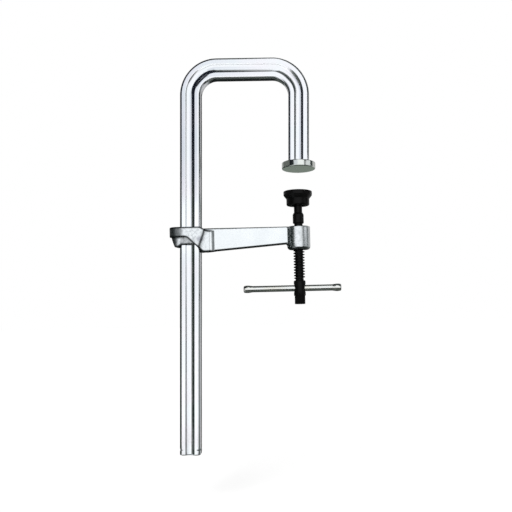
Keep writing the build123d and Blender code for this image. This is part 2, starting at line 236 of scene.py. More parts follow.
def slice_at(place, normal):
    """Cuts new edges through the whole mesh along a plane."""
    bpy.ops.mesh.select_all(action="SELECT")
    bpy.ops.mesh.bisect(plane_co=place, plane_no=normal)


def close_up():
    """Merges doubled corners and turns all faces outwards."""
    bpy.ops.mesh.select_all(action="SELECT")
    bpy.ops.mesh.remove_doubles(threshold=TOUCHING)
    bpy.ops.mesh.normals_make_consistent(inside=False)


def share_at(stations, place):
    """The share at a place, straight between the stations before and after it."""
    if place <= stations[0][0]:
        return stations[0][1]
    for (here, share), (there, next_share) in zip(stations, stations[1:]):
        if place <= there:
            return share + (next_share - share) * (place - here) / (there - here)
    return stations[-1][1]


def modify(piece, kind, **settings):
    """Adds a modifier with its settings and applies it."""
    bpy.context.view_layer.objects.active = piece
    change = piece.modifiers.new(kind.lower(), kind)
    for setting, value in settings.items():
        setattr(change, setting, value)
    bpy.ops.object.modifier_apply(modifier=change.name)


def cut(piece, cutter, operation="DIFFERENCE"):
    """Cuts a piece with another one, which is used up."""
    modify(piece, "BOOLEAN", object=cutter, operation=operation, solver="EXACT")
    bpy.data.objects.remove(cutter)


def smooth(piece, edge_width=0.0, angle=35):
    """Rounds the sharp edges, where a width is given, and shades the rest smoothly."""
    choose(piece)
    if edge_width:
        modify(
            piece,
            "BEVEL",
            width=edge_width,
            segments=3,
            limit_method="ANGLE",
            angle_limit=radians(angle),
            use_clamp_overlap=True,
            miter_outer="MITER_ARC",
        )
    bpy.ops.object.shade_smooth_by_angle(angle=radians(angle))
    modify(piece, "WEIGHTED_NORMAL", keep_sharp=True, weight=80)


def traced(name, points):
    """A new piece that is only a line through points, open for editing."""
    piece = begin(
        bpy.ops.mesh.primitive_plane_add, name, size=MM, location=tuple(points[0])
    )
    bpy.ops.mesh.merge(type="CENTER")
    for here, there in zip(points, points[1:]):
        push(there - here)
    return piece


def upright(outline):
    """Points in the upright plane through the axis, from radii and heights."""
    return [Vector((radius, 0, height)) for radius, height in outline]


def turned(name, outline, sides=96, closed=False):
    """A piece turned round the Z axis, from an outline of radii and heights."""
    points = upright(outline)
    piece = traced(name, points)
    if closed:
        ends = (points[0], points[-1])
        pick(piece, lambda co: any((co - end).length < TOUCHING for end in ends))
        bpy.ops.mesh.edge_face_add()
    bpy.ops.mesh.select_all(action="SELECT")
    bpy.ops.mesh.spin(steps=sides, angle=2 * pi, center=(0, 0, 0), axis=(0, 0, 1))
    close_up()
    return finish_editing(piece)


def arc(centre_radius, centre_height, radius, start, stop, steps=6):
    """Outline points on an arc, angles in degrees from outwards to up."""
    turns = [radians(start + (stop - start) * step / steps) for step in range(steps + 1)]
    return [
        (centre_radius + radius * cos(turn), centre_height + radius * sin(turn))
        for turn in turns
    ]


def axes_matrix(x_axis, y_axis, z_axis, origin):
    """A placing whose axes and origin are given."""
    placing = Matrix.Identity(4)
    for column, axis in enumerate((x_axis, y_axis, z_axis, origin)):
        for row in range(3):
            placing[row][column] = axis[row]
    return placing


# Steps of a finish

def put(tree, kind, inputs=None, **settings):
    """Adds a node with its settings and its inputs, which are values or other nodes' outputs."""
    node = tree.nodes.new(kind)
    for setting, value in settings.items():
        setattr(node, setting, value)
    for socket, value in (inputs or {}).items():
        if isinstance(value, bpy.types.NodeSocket):
            tree.links.new(value, node.inputs[socket])
        else:
            node.inputs[socket].default_value = value
    return node


def new_finish(name):
    """An empty finish, its nodes and its shader."""
    finish = bpy.data.materials.new(name)
    finish.use_nodes = True
    tree = finish.node_tree
    return finish, tree, tree.nodes["Principled BSDF"]


def piece_place(tree):
    """The place on the piece, in its own coordinates."""
    return put(tree, "ShaderNodeTexCoord").outputs["Object"]


def axis_of(tree, vector, axis):
    """One axis of a place or a direction."""
    return put(tree, "ShaderNodeSeparateXYZ", {0: vector}).outputs[axis]


def reckon(tree, operation, *numbers):
    """What an operation makes of one or two numbers."""
    return put(tree, "ShaderNodeMath", dict(enumerate(numbers)), operation=operation).outputs[0]


def total(tree, first, second):
    """Two numbers added."""
    return reckon(tree, "ADD", first, second)


def product(tree, first, second):
    """Two numbers multiplied."""
    return reckon(tree, "MULTIPLY", first, second)


def grain(tree, place, scale, stretch=(1, 1, 1), detail=3.0, roughness=0.5, distortion=0.0):
    """A noise of so many lumps a metre, stretched along the piece's axes."""
    stretched = put(tree, "ShaderNodeMapping", {"Vector": place, "Scale": stretch})
    noise = put(
        tree,
        "ShaderNodeTexNoise",
        {
            "Vector": stretched.outputs["Vector"],
            "Scale": scale,
            "Detail": detail,
            "Roughness": roughness,
            "Distortion": distortion,
        },
    )
    return noise.outputs["Fac"]


def between(tree, amount, low, high, from_low=0.3, from_high=0.7):
    """A number that goes softly from low to high with an amount."""
    spread = put(
        tree,
        "ShaderNodeMapRange",
        {
            "Value": amount,
            "From Min": from_low,
            "From Max": from_high,
            "To Min": low,
            "To Max": high,
        },
        interpolation_type="SMOOTHSTEP",
    )
    return spread.outputs["Result"]


def blend(tree, amount, colour, other):
    """A colour between two others, which are values or other nodes' outputs."""
    ends = [
        end if isinstance(end, bpy.types.NodeSocket) else (*end, 1) for end in (colour, other)
    ]
    # inputs 6 and 7 and output 2 are the Mix node's colours, after its numbers and vectors
    mix = put(
        tree, "ShaderNodeMix", {"Factor": amount, 6: ends[0], 7: ends[1]}, data_type="RGBA"
    )
    return mix.outputs[2]


def relief(tree, height, depth, below=None):
    """A bump of so many metres' depth, on top of another one."""
    inputs = {"Height": height, "Distance": depth, "Strength": 1.0}
    if below is not None:
        inputs["Normal"] = below
    return put(tree, "ShaderNodeBump", inputs).outputs["Normal"]


def outer_rim(tree, reach, most, low, high):
    """How near a place lies to the piece's outer edges, where little metal is behind it."""
    rims = put(tree, "ShaderNodeAmbientOcclusion", {"Distance": reach}, samples=16, inside=True)
    return between(tree, rims.outputs["AO"], most, 0, low, high)


def dress(tree, shader, tint, dullness, surface, metallic=1.0):
    """Gives a shader its colour, its roughness and its relief."""
    tree.links.new(tint, shader.inputs["Base Color"])
    tree.links.new(dullness, shader.inputs["Roughness"])
    tree.links.new(surface, shader.inputs["Normal"])
    shader.inputs["Metallic"].default_value = metallic


def coat(piece, finish):
    """Gives a piece one finish all over."""
    piece.data.materials.clear()
    piece.data.materials.append(finish)


# Finishes

def bright_zinc():
    """The rail's bright plating, with fine drawing lines along the bar."""
    finish, tree, shader = new_finish("bright_zinc")
    along = put(tree, "ShaderNodeAttribute", attribute_name="along_bar").outputs["Vector"]
    lines = grain(tree, along, 900, (1, 1, 0.012), detail=4, roughness=0.6)
    clouds = grain(tree, piece_place(tree), 28, detail=3)
    waves = grain(tree, along, 60, (1, 1, 0.25), detail=1)
    tint = blend(tree, between(tree, clouds, 0, 1), (0.83, 0.86, 0.88), (0.88, 0.87, 0.90))
    streaks = between(tree, lines, 0.0, 0.07)
    dullness = total(tree, streaks, between(tree, clouds, 0.10, 0.17))
    surface = relief(tree, waves, 0.02 * MM)
    surface = relief(tree, lines, 0.0012 * MM, surface)
    dress(tree, shader, tint, dullness, surface)
    return finish


def painted_fold_shade(tree, place):
    """Painted shade in the collar's fold, a darker spot at half its height."""
    middle = (-140.2 * MM, 0, -98.5 * MM)
    seen_from_side = put(
        tree, "ShaderNodeVectorMath", {0: place, 1: (1, 0, 1)}, operation="MULTIPLY"
    ).outputs[0]
    from_spot = put(
        tree, "ShaderNodeVectorMath", {0: seen_from_side, 1: middle}, operation="DISTANCE"
    ).outputs["Value"]
    return between(tree, from_spot, 0.8, 0, 1.5 * MM, 6.5 * MM)


def forged_zinc():
    """The arm's satin plating over a shot-blasted forging, duller round the collar, with painted
    shade in its crevices, fold, underside and edges.
    """
    finish, tree, shader = new_finish("forged_zinc")
    place = piece_place(tree)
    skin = grain(tree, place, 420, detail=5, roughness=0.6)
    lumps = grain(tree, place, 120, detail=3)
    blotches = grain(tree, place, 260, detail=5, roughness=0.65, distortion=0.5)
    clouds = grain(tree, place, 45, detail=4, distortion=0.6)
    pits = put(tree, "ShaderNodeTexVoronoi", {"Vector": place, "Scale": 260.0})
    pit_depth = between(tree, pits.outputs["Distance"], 0, 1, 0.05, 0.3)

    # which part of the arm a place is on
    along = axis_of(tree, place, "X")
    height = axis_of(tree, place, "Z")
    collar = between(tree, along, 1, 0, -150 * MM, -118 * MM)
    lug = between(tree, height, 7 * MM, 0, -98 * MM, -95 * MM)
    round_end = between(tree, total(tree, along, lug), 0.95, 0, -170.5 * MM, -160.5 * MM)
    boss = between(tree, along, 0, 1, -17 * MM, -14 * MM)
    upwards = axis_of(tree, put(tree, "ShaderNodeNewGeometry").outputs["Normal"], "Z")
    crevice = put(tree, "ShaderNodeAmbientOcclusion", {"Distance": 3.5 * MM}, samples=8)
    rim = outer_rim(tree, 3.4 * MM, 0.97, 0.76, 0.98)

    # what darkens it there, one over the other: random blotches, and painted shade at the
    # rounded end, in crevices, underneath, on edges and in the fold
    patches = product(tree, between(tree, blotches, 0.55, 0, 0.35, 0.6), collar)
    # painted shade on the collar's rounded left end, darker where it turns away to the left
    painted_end_shade = product(tree, between(tree, blotches, 1, 0.8, 0.3, 0.7), round_end)
    scale = product(tree, between(tree, blotches, 0.45, 0, 0.4, 0.6), boss)
    # painted shade: near black in crevices and hollows, from ambient occlusion
    painted_crevice_shade = between(tree, crevice.outputs["AO"], 1, 0, 0.55, 0.85)
    # painted shade on faces that look downwards
    painted_underside_shade = between(tree, upwards, 0.9, 0, -0.45, -0.05)
    # painted shade along the collar's outer edges, as dark edge lines
    painted_collar_edge_shade = product(tree, rim, between(tree, along, 1, 0, -126 * MM, -122 * MM))
    tint = blend(tree, between(tree, clouds, 0, 1), (0.76, 0.79, 0.805), (0.84, 0.865, 0.88))
    for share, darker in (
        (patches, (0.30, 0.32, 0.33)),
        (painted_end_shade, (0.15, 0.16, 0.16)),
        (scale, (0.45, 0.48, 0.48)),
        (painted_crevice_shade, (0.02, 0.02, 0.02)),
        (painted_underside_shade, (0.10, 0.11, 0.11)),
        (painted_collar_edge_shade, (0.03, 0.035, 0.035)),
        # painted shade in the fold
        (painted_fold_shade(tree, place), (0.36, 0.37, 0.41)),
    ):
        tint = blend(tree, share, tint, darker)

    dullness = total(tree, between(tree, clouds, 0.16, 0.22), between(tree, skin, 0.0, 0.08))
    dull_parts = total(tree, product(tree, round_end, 0.26), product(tree, boss, 0.05))
    surface = relief(tree, lumps, 0.16 * MM)
    surface = relief(tree, skin, 0.05 * MM, surface)
    surface = relief(tree, pit_depth, 0.02 * MM, surface)
    dress(tree, shader, tint, total(tree, dullness, dull_parts), surface)
    return finish


def black_oxide():
    """Oiled black oxide on turned steel."""
    finish, tree, shader = new_finish("black_oxide")
    place = piece_place(tree)
    clouds = grain(tree, place, 90, detail=4)
    turning_lines = grain(tree, place, 1500, (1, 1, 2.5), detail=2)
    scuffs = grain(tree, place, 320, detail=6, roughness=0.7)
    tint = blend(tree, between(tree, clouds, 0, 1), (0.002, 0.002, 0.002), (0.005, 0.005, 0.005))
    worn = between(tree, scuffs, 0, 0.35, 0.66, 0.8)
    tint = blend(tree, worn, tint, (0.02, 0.02, 0.02))
    dullness = total(
        tree, between(tree, clouds, 0.18, 0.26), between(tree, turning_lines, 0.0, 0.08)
    )
    surface = relief(tree, turning_lines, 0.004 * MM)
    dress(tree, shader, tint, dullness, surface, metallic=0.0)
    shader.inputs["Specular IOR Level"].default_value = 0.1
    return finish


def bar_steel():
    """The tommy bar's bright steel, with a faint yellow passivation and painted shade along its
    edges.
    """
    finish, tree, shader = new_finish("bar_steel")
    place = piece_place(tree)
    clouds = grain(tree, place, 40, detail=4)
    lines = grain(tree, place, 1200, (0.02, 1, 1), detail=3)
    tint = blend(tree, between(tree, clouds, 0, 1), (0.84, 0.85, 0.84), (0.80, 0.79, 0.72))
    # painted shade: the bar turns near black along its outer edges, as dark outlines
    rim = outer_rim(tree, 1.8 * MM, 0.95, 0.75, 0.97)
    tint = blend(tree, rim, tint, (0.04, 0.04, 0.04))
    dullness = total(tree, between(tree, clouds, 0.14, 0.22), between(tree, lines, 0.0, 0.08))
    dress(tree, shader, tint, dullness, relief(tree, lines, 0.002 * MM))
    return finish


def anvil_zinc():
    """Plating on the anvil's turned plate."""
    finish, tree, shader = new_finish("anvil_zinc")
    place = piece_place(tree)
    clouds = grain(tree, place, 110, detail=4)
    specks = grain(tree, place, 900, detail=4, roughness=0.7)
    tint = blend(tree, between(tree, clouds, 0, 1), (0.66, 0.70, 0.66), (0.76, 0.78, 0.75))
    dullness = total(tree, between(tree, clouds, 0.08, 0.14), between(tree, specks, 0.0, 0.06))
    dress(tree, shader, tint, dullness, relief(tree, specks, 0.002 * MM))
    return finish


def hardened_steel(name, colour, dull):
    """Ground or phosphated steel of the small fittings."""
    finish, tree, shader = new_finish(name)
    specks = grain(tree, piece_place(tree), 1500, detail=4)
    darker = tuple(part * 0.8 for part in colour)
    tint = blend(tree, between(tree, specks, 0, 1), darker, colour)
    dullness = between(tree, specks, dull, dull + 0.1)
    dress(tree, shader, tint, dullness, relief(tree, specks, 0.003 * MM))
    return finish


# The rail

def rail_face(name, middle_x, height):
    """The double-T section as one flat face."""
    middle = (middle_x, 0, height)
    rail = begin(bpy.ops.mesh.primitive_plane_add, name, size=1, location=middle)
    resize((RAIL_WIDTH, RAIL_THICKNESS, 1), middle)
    half = HOLLOW_WIDTH / 2
    hollow_radius = (half**2 + HOLLOW_DEPTH**2) / (2 * HOLLOW_DEPTH)
    steepest = asin(half / hollow_radius)
    turns = [
        steepest * (2 * step / HOLLOW_FACETS - 1) for step in range(HOLLOW_FACETS + 1)
    ]
    for turn in turns:
        slice_at((middle_x + hollow_radius * sin(turn), 0, height), (1, 0, 0))
    for turn in turns:
        cut_x = middle_x + hollow_radius * sin(turn)
        sunk = hollow_radius * cos(turn) - hollow_radius + HOLLOW_DEPTH
        pick(rail, lambda co: abs(co.x - cut_x) < NEAR)
        resize((1, 1 - sunk / (RAIL_THICKNESS / 2), 1), middle)
    bpy.ops.mesh.select_all(action="SELECT")
    bpy.ops.mesh.dissolve_faces()
    # the flat side face gets corners where the pinch of the bends ends
    slice_at((middle_x + PINCH[-1][0] * MM, 0, height), (1, 0, 0))
    bpy.ops.mesh.select_all(action="SELECT")
    bpy.ops.mesh.dissolve_faces()
    bpy.ops.mesh.select_mode(type="VERT")
    pick(rail, lambda co: abs(abs(co.x - middle_x) - half) < NEAR)
    bpy.ops.mesh.bevel(offset=HOLLOW_LIP, segments=3, affect="VERTICES", profile=0.5)
    outer_reach = RAIL_WIDTH / 2 - 0.1 * MM
    pick(rail, lambda co: abs(co.x - middle_x) > outer_reach)
    bpy.ops.mesh.bevel(offset=RAIL_CORNER, segments=10, affect="VERTICES", profile=0.5)
    return rail


def round_foot():
    """Draws the section up through the foot's rounded end, and tells the height reached."""
    bpy.ops.mesh.select_all(action="SELECT")
    height = FOOT
    inset = 0.0
    for rise, next_inset in FOOT_ROUNDING:
        if rise:
            push((0, 0, FOOT + rise * MM - height))
        height = FOOT + rise * MM
        next_inset *= MM
        across = (RAIL_WIDTH - 2 * next_inset) / (RAIL_WIDTH - 2 * inset)
        through = (RAIL_THICKNESS - 2 * next_inset) / (RAIL_THICKNESS - 2 * inset)
        resize((across, through, 1), (-LEG_SPAN, 0, height))
        inset = next_inset
    return height


def pinch_bend(rail, centre, start, turn):
    """Sinks the hollow's inner side over a bend, where the bar is squeezed."""

    def place(co):
        """The place across the bar, in mm, and how many levels it sinks there."""
        spoke = co - centre
        share = (atan2(spoke.z, -spoke.x) - start) / turn
        if not 0 < share < 1:
            return 0.0, 0
        across = (BEND_RADIUS - hypot(spoke.x, spoke.z)) / MM
        return across, round(PINCH_LEVELS * sin(pi * share) ** 2)

    bpy.ops.object.mode_set(mode="OBJECT")
    half_thickness = {}
    for corner in rail.data.vertices:
        across, level = place(rail.matrix_world @ corner.co)
        if level and PINCH[0][0] < across < PINCH[-1][0]:
            half_thickness.setdefault((round(across, 2), level), abs(corner.co.y) / MM)
    bpy.ops.object.mode_set(mode="EDIT")
    for (across, level), half in sorted(half_thickness.items()):
        sunk = share_at(PINCH, across) * level / PINCH_LEVELS

        def in_group(co):
            here, here_level = place(co)
            return here_level == level and abs(here - across) < PINCH_REACH

        pick(rail, in_group)
        resize((1, 1 - sunk / half, 1))


def stake_marks(rail):
    """Chisel marks on the foot's corners, which stop the arm."""
    corner_inset = RAIL_CORNER * (sqrt(2) - 1)
    depth_share = (corner_inset + STAKE_DEPTH) / (STAKE_SIZE / 2)
    for side_x in (-1, 1):
        for side_y in (-1, 1):
            corner = Vector(
                (
                    -LEG_SPAN + side_x * RAIL_WIDTH / 2,
                    side_y * RAIL_THICKNESS / 2,
                    FOOT + STAKE_RISE,
                )
            )
            chisel = begin(
                bpy.ops.mesh.primitive_cylinder_add,
                "chisel",
                vertices=4,
                radius=STAKE_SIZE / 2,
                depth=RAIL_THICKNESS / 2,
            )
            resize((1, depth_share, 1))
            bpy.ops.object.mode_set(mode="OBJECT")
            # the chisel's own axis lies along the mark, across the corner
            outward = Vector((side_x, side_y, 0)).normalized()
            along_mark = Vector((-outward.y, outward.x, 0))
            chisel.matrix_world = axes_matrix(Vector((0, 0, 1)), outward, along_mark, corner)
            finish_editing(chisel)
            cut(rail, chisel)


def mark_place_along(rail):
    """Writes each corner's place across and along the bar, for the drawing lines."""
    bridge_start = left_centre.z + BEND_RADIUS * pi / 2
    bridge_end = bridge_start + right_centre.x - left_centre.x
    places = rail.data.attributes.new("along_bar", "FLOAT_VECTOR", "POINT")
    for corner, place in zip(rail.data.vertices, places.data):
        co = corner.co
        from_left, from_right = co - left_centre, co - right_centre
        if co.x < left_centre.x and co.z < left_centre.z:
            across = co.x + LEG_SPAN
            along = co.z
        elif co.x < left_centre.x:
            across = BEND_RADIUS - hypot(from_left.x, from_left.z)
            along = left_centre.z + BEND_RADIUS * atan2(from_left.z, -from_left.x)
        elif co.x < right_centre.x:
            across = BRIDGE_MIDDLE + (co.x + LEG_SPAN / 2) * tan(BRIDGE_SLOPE) - co.z
            along = bridge_start + co.x - left_centre.x
        elif co.z > right_centre.z:
            across = BEND_RADIUS - hypot(from_right.x, from_right.z)
            along = bridge_end + BEND_RADIUS * atan2(from_right.x, from_right.z)
        else:
            across = -co.x
            along = bridge_end + BEND_RADIUS * pi / 2 + right_centre.z - co.z
        place.vector = (across, co.y, along)


def drawn_rail():
    """The bent bar: up the long leg, over the bridge and down the short leg."""
    rail = rail_face("drawn_rail", -LEG_SPAN, FOOT)
    height = round_foot()
    push((0, 0, left_bend_z - height))
    backwards = (0, -1, 0)
    bpy.ops.mesh.spin(
        steps=BEND_STEPS, angle=LEFT_TURN, center=tuple(left_centre), axis=backwards
    )
    bridge_run = LEG_SPAN / cos(BRIDGE_SLOPE) - left_tangent - right_tangent
    push((bridge_run * cos(BRIDGE_SLOPE), 0, bridge_run * sin(BRIDGE_SLOPE)))
    bpy.ops.mesh.spin(
        steps=BEND_STEPS, angle=RIGHT_TURN, center=tuple(right_centre), axis=backwards
    )
    push((0, 0, LEG_END - right_bend_z))
    close_up()
    pinch_bend(rail, left_centre, 0, LEFT_TURN)
    pinch_bend(rail, right_centre, LEFT_TURN, RIGHT_TURN)
    finish_editing(rail)
    stake_marks(rail)
    mark_place_along(rail)
    smooth(rail)
    rail.location = (anvil_x, 0, 0)
    rail.rotation_euler = (0, rail_lean, 0)
    return finish_editing(rail)


rail = drawn_rail()
coat(rail, bright_zinc())
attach(rail, "rail_frame")
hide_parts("rail")


# The anvil

def anvil_plate():
    """The turned plate under the short leg, with rounded rims."""
    radius = (anvil_high.x - anvil_low.x) / 2
    thickness = anvil_high.z
    rim = 1.2 * MM
    outline = [(0, 0)]
    outline += arc(radius - rim, rim, rim, -90, 0)
    outline += arc(radius - rim, thickness - rim, rim, 0, 90)
    outline += [(0, thickness)]
    plate = turned("anvil_plate", outline, sides=128)
    smooth(plate)
    plate.location = (anvil_x, 0, 0)
    return finish_editing(plate)


anvil = anvil_plate()
coat(anvil, anvil_zinc())
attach(anvil, "rail_frame")
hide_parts("anvil_disc")


# The sliding arm

def squeeze(arm, stations, along, half, sides, start, stop):
    """Scales what stands out past half by the stations' shares, one narrow band at a time."""
    for step in range(int((stop - start) / BAND) + 1):
        place = start + BAND * (step + 0.5)
        share = share_at(stations, place)
        if share == 1.0:
            continue
        pick(
            arm,
            lambda co: sides[0] <= co.x / MM < sides[1]
            and abs(co.y) > half * MM
            and abs(along(co) - place) <= BAND / 2,
        )
        resize((1, share, 1))


def blend_cheeks(arm):
    """Forges the cheeks' front ends into a slanting fold, a flat and a small step."""
    for station in FOLD:
        slice_at((station[0] * MM, 0, FOLD_MIDDLE * MM), (1, 0, -FOLD_SLANT))
    for station in STEP[:-1]:
        slice_at((station[0] * MM, 0, 0), (1, 0, 0))

    def along_fold(co):
        return co.x / MM - FOLD_SLANT * (co.z / MM - FOLD_MIDDLE)

    def along_step(co):
        return co.x / MM

    step_start = STEP[0][0] - BAND / 2
    step_end = STEP[-1][0]
    fold_sides = (BEHIND_FOLD, step_start)
    step_sides = (step_start, step_end)
    squeeze(arm, FOLD, along_fold, CHEEK_HALF, fold_sides, FOLD[0][0], PAST_SLANT)
    squeeze(arm, STEP, along_step, WEB_HALF, step_sides, step_start, step_end)


def forged_arm():
    """The arm's forging, from the CAD solid, with its cheeks blended into the web."""
    arm = frame["nodes"]["sliding_arm"].copy()
    arm.data = arm.data.copy()
    arm.name = arm.data.name = "forged_arm"
    # the copy stands alone, without the CAD node's marks and parent
    for key in list(arm.keys()):
        del arm[key]
    arm.parent = None
    bpy.context.scene.collection.objects.link(arm)
    choose(arm)
    bpy.ops.object.mode_set(mode="EDIT")
    bpy.ops.mesh.select_all(action="SELECT")
    bpy.ops.mesh.remove_doubles(threshold=TOUCHING)
    blend_cheeks(arm)
    bpy.ops.object.mode_set(mode="OBJECT")
    smooth(arm, angle=30)
    return arm


arm = forged_arm()
coat(arm, forged_zinc())
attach(arm, "arm")
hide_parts("sliding_arm")


# The spindle

def thread_groove(top, bottom):
    """The helical groove of a right-hand trapezoidal thread, as a solid to cut with."""
    overshoot = 0.6 * MM
    outer = THREAD_CREST + overshoot
    root_half = ROOT_FLAT / 2
    outer_half = root_half + (outer - THREAD_ROOT) * tan(FLANK_ANGLE)
    start = bottom - THREAD_PITCH / 2
    section = [
        (THREAD_ROOT, start - root_half),
        (outer, start - outer_half),
        (outer, start + outer_half),
        (THREAD_ROOT, start + root_half),
    ]
    groove = traced("groove", upright(section))
    bpy.ops.mesh.select_all(action="SELECT")
    bpy.ops.mesh.edge_face_add()
    bpy.ops.mesh.delete(type="ONLY_FACE")
    finish_editing(groove)
    modify(
        groove,
        "SCREW",
        axis="Z",
        angle=2 * pi,
        screw_offset=THREAD_PITCH,
        iterations=int((top - bottom) / THREAD_PITCH) + 1,
        steps=64,
        render_steps=64,
        use_merge_vertices=False,
        use_normal_calculate=True,
    )
    bpy.ops.object.mode_set(mode="EDIT")
    bpy.ops.mesh.select_all(action="SELECT")
    bpy.ops.mesh.fill_holes(sides=0)
    close_up()
    return finish_editing(groove)


def bar_hole_cutter():
    """The cross hole with its flared mouths, as a solid to cut with."""
    flare = 1.6 * MM
    overshoot = 1 * MM
    mouth = HEAD_RADIUS - flare
    end = HEAD_RADIUS + overshoot
    end_radius = BAR_HOLE + flare + overshoot
    outline = [
        (0, -end),
        (end_radius, -end),
        (BAR_HOLE, -mouth),
        (BAR_HOLE, mouth),
        (end_radius, end),
        (0, end),
    ]
    cutter = turned("hole", outline, sides=64)
    cutter.rotation_euler = (0, pi / 2, 0)
    cutter.location = (0, 0, bar_middle.z)
    return finish_editing(cutter)


def hexagon(bottom, top):
    """The hexagon on the spindle's end, with its corners turned off."""
    length = top - bottom
    blank = begin(
        bpy.ops.mesh.primitive_cylinder_add,
        "hexagon",
        vertices=6,
        radius=HEX_FLATS / 2 / cos(pi / 6),
        depth=length,
        location=(0, 0, bottom + length / 2),
    )
    finish_editing(blank)
    envelope = [
        (0, bottom),
        (HEX_FACING, bottom),
        (HEX_CORNER, bottom + HEX_CHAMFER),
        (HEX_CORNER, top + MM),
        (0, top + MM),
    ]
    cut(blank, turned("envelope", envelope, sides=72), "INTERSECT")
    return blank


def threaded_spindle():
    """The turned, threaded, cross-drilled spindle with its hexagon."""
    tip = spindle_high.z
    shoulder = bush_low.z - BUSH_PLAY
    thread_top = sleeve_low.z - RELIEF_LENGTH
    thread_bottom = thread_top - THREAD_LENGTH
    head_top = thread_bottom - UNDERCUT
    head_bottom = head_top - HEAD_LENGTH
    tip_chamfer, head_chamfer, lower_chamfer = 0.5 * MM, 1.2 * MM, 0.4 * MM
    chamfer_height = THREAD_CHAMFER * 0.6
    outline = [
        (0, tip),
        (CLIP_GROOVE, tip),
        (JOURNAL, tip - tip_chamfer),
        (JOURNAL, clip_high.z),
        (CLIP_GROOVE, clip_high.z),
        (CLIP_GROOVE, clip_low.z),
        (JOURNAL, clip_low.z),
        (JOURNAL, shoulder),
        (NECK, shoulder),
        (NECK, sleeve_low.z),
        (RELIEF_RADIUS, sleeve_low.z),
        (RELIEF_RADIUS, thread_top),
        (THREAD_CREST - THREAD_CHAMFER, thread_top),
        (THREAD_CREST, thread_top - chamfer_height),
        (THREAD_CREST, thread_bottom + chamfer_height),
        (THREAD_CREST - THREAD_CHAMFER, thread_bottom),
        (RELIEF_RADIUS, thread_bottom),
        (RELIEF_RADIUS, head_top),
        (HEAD_RADIUS - head_chamfer, head_top),
        (HEAD_RADIUS, head_top - head_chamfer),
        (HEAD_RADIUS, head_bottom + lower_chamfer),
        (HEAD_RADIUS - lower_chamfer, head_bottom),
        (0, head_bottom),
    ]
    spindle = turned("threaded_spindle", outline, sides=96)
    cut(spindle, thread_groove(thread_top + MM, thread_bottom - MM))
    cut(spindle, bar_hole_cutter())
    cut(spindle, hexagon(spindle_low.z, head_bottom + MM), "UNION")
    smooth(spindle, angle=28)
    return spindle


black = black_oxide()
spindle = threaded_spindle()
coat(spindle, black)
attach(spindle, "spindle")
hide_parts("spindle")


# The stop sleeve

def pressed_sleeve():
    """The sleeve on the neck, flared from its upper end."""
    top, bottom = sleeve_high.z, sleeve_low.z
    radius = (sleeve_high.x - sleeve_low.x) / 2
    bore, upper_wall = 5.95 * MM, 0.45 * MM
    chamfer, flare = 1.0 * MM, 2.7 * MM
    outline = [
        (bore, top),
        (bore, bottom),
        (radius - chamfer, bottom),
        (radius, bottom + chamfer),
        (radius, top - flare),
        (bore + upper_wall, top),
    ]
    sleeve = turned("pressed_sleeve", outline, closed=True)
    smooth(sleeve, edge_width=0.25 * MM, angle=20)
    return sleeve


sleeve = pressed_sleeve()
coat(sleeve, black)
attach(sleeve, "spindle")
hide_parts("stop_sleeve")


# The pressure pad

def swivel_pad():
    """The turned bell with its ball socket and ring groove."""
    face, bottom = pad_high.z, pad_low.z
    radius = (pad_high.x - pad_low.x) / 2
    ball = face - BALL_DROP
    rim_bottom = face - RIM_HEIGHT
    rounding, skirt = 0.8 * MM, 2.0 * MM
    groove_bottom, groove_top = ring_low.z - RING_PLAY, ring_high.z + RING_PLAY
    outline = [(0, ball + PAD_SOCKET), (0, face)]
    outline += arc(radius - rounding, face - rounding, rounding, 90, 0)
    outline += arc(radius - rounding, rim_bottom + rounding, rounding, 0, -45, 4)
    outline += [(PAD_BODY, rim_bottom - FLARE_HEIGHT)]
    outline += arc(PAD_BODY - skirt, bottom + skirt, skirt, 0, -90)
    outline += [
        (PAD_SOCKET, bottom),
        (PAD_SOCKET, groove_bottom),
        (PAD_RING_GROOVE, groove_bottom),
        (PAD_RING_GROOVE, groove_top),
        (PAD_SOCKET, groove_top),
    ]
    outline += arc(0, ball, PAD_SOCKET, 0, 90, 12)
    pad = turned("swivel_pad", outline, sides=128)
    smooth(pad, angle=30)
    return pad


pad = swivel_pad()
coat(pad, black)
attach(pad, "pad")
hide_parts("pressure_pad")


# The tommy bar

def upset_bar():
    """The cross bar with its two upset ends."""
    length = bar_high.x - bar_low.x
    end = []
    crown_steps, taper_steps = 6, 10
    for step in range(crown_steps + 1):
        turn = step / crown_steps * pi / 2
        radius = UPSET_TIP + (UPSET - UPSET_TIP) * sin(turn)
        end.append((radius, UPSET_CROWN * (1 - cos(turn))))
    for step in range(1, taper_steps + 1):
        share = step / taper_steps
        radius = ROD + (UPSET - ROD) * (1 + cos(share * pi)) / 2
        end.append((radius, UPSET_CROWN + (UPSET_TAPER - UPSET_CROWN) * share))
    lower = [(0, -length / 2)] + [(radius, -length / 2 + inward) for radius, inward in end]
    upper = [(radius, -height) for radius, height in reversed(lower)]
    bar = turned("upset_bar", lower + upper, sides=64)
    smooth(bar)
    bar.rotation_euler = (0, pi / 2, 0)
    bar.location = (bar_middle.x, 0, bar_middle.z)
    return finish_editing(bar)


bar = upset_bar()
coat(bar, bar_steel())
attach(bar, "bar")
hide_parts("tommy_bar")


# The small fittings of the ball joint keep their CAD shapes
coat(frame["nodes"]["thrust_bush"], hardened_steel("ground_steel", (0.66, 0.66, 0.67), 0.22))
spring_steel = hardened_steel("spring_steel", (0.22, 0.21, 0.20), 0.35)
coat(frame["nodes"]["journal_clip"], spring_steel)
coat(frame["nodes"]["pad_snap_ring"], spring_steel)


# Studio: white to the camera, with two white cards and dark sides that only metal sees

